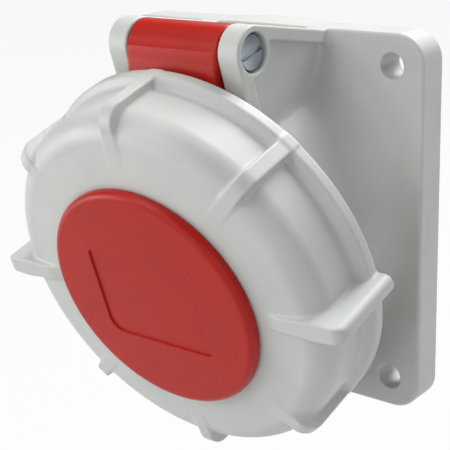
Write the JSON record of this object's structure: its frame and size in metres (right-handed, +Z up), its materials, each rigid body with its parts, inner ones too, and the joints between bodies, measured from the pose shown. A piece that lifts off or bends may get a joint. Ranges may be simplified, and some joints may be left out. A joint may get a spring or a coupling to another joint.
{
  "type": "industrial panel socket",
  "caption": "Inclined panel-mounted power socket with a square flange, a sprung hinged lid and a bayonet locking ring with grips.",
  "frame": {"origin": "centre of the flange at its rear face, where it meets the panel", "axes": "-Y out of the panel towards the lid, +Z up, +X to the right seen from the front"},
  "size_m": [0.1276, 0.1117, 0.1308],
  "materials": {
    "housing": "fine satin moulded grey",
    "ring": "fine satin moulded grey",
    "lid": "fine satin moulded red",
    "insert": "satin dark grey",
    "seal": "matt black",
    "contact": "turned",
    "steel": "zinc plated",
    "spring": "drawn wire"
  },
  "bodies": {
    "root": {"housing": "housing", "flange": "housing", "hinge_ears": "housing", "neck_lugs": "housing", "flange_gasket": "seal", "base_plate": "insert", "base_seal": "seal", "base_screws": "steel", "contact_blocks": "insert", "pilot_block": "insert", "insert_face": "insert", "insert_clip": "steel", "contact_l1": "contact", "contact_l2": "contact", "contact_l3": "contact", "contact_neutral": "contact", "contact_earth": "contact", "contact_pilot": "contact", "terminal_screws": "steel", "hinge_screw": "steel", "hinge_nut": "steel", "hinge_spring": "spring"},
    "lid": {"lid": "lid", "lid_seal": "seal", "cap_disc": "lid", "cap_screws": "steel"},
    "ring": {"locking_ring": "ring", "ring_face": "ring", "ring_lugs": "ring"}
  },
  "joints": [
    {"name": "lid_hinge", "type": "hinge", "parent": "root", "child": "lid", "pos_m": [0, -0.046, 0.055], "axis": [-1, 0, 0], "range_deg": [0, 110], "stiffness_Nm_per_rad": 0.06, "springref_deg": -20.05, "deforming": ["hinge_spring"]},
    {"name": "ring_turn", "type": "hinge", "parent": "lid", "child": "ring", "pos_m": [0, -0.03969, -0.00613], "axis": [0, 0.9563, 0.2924], "range_deg": [0, 25]}
  ]
}
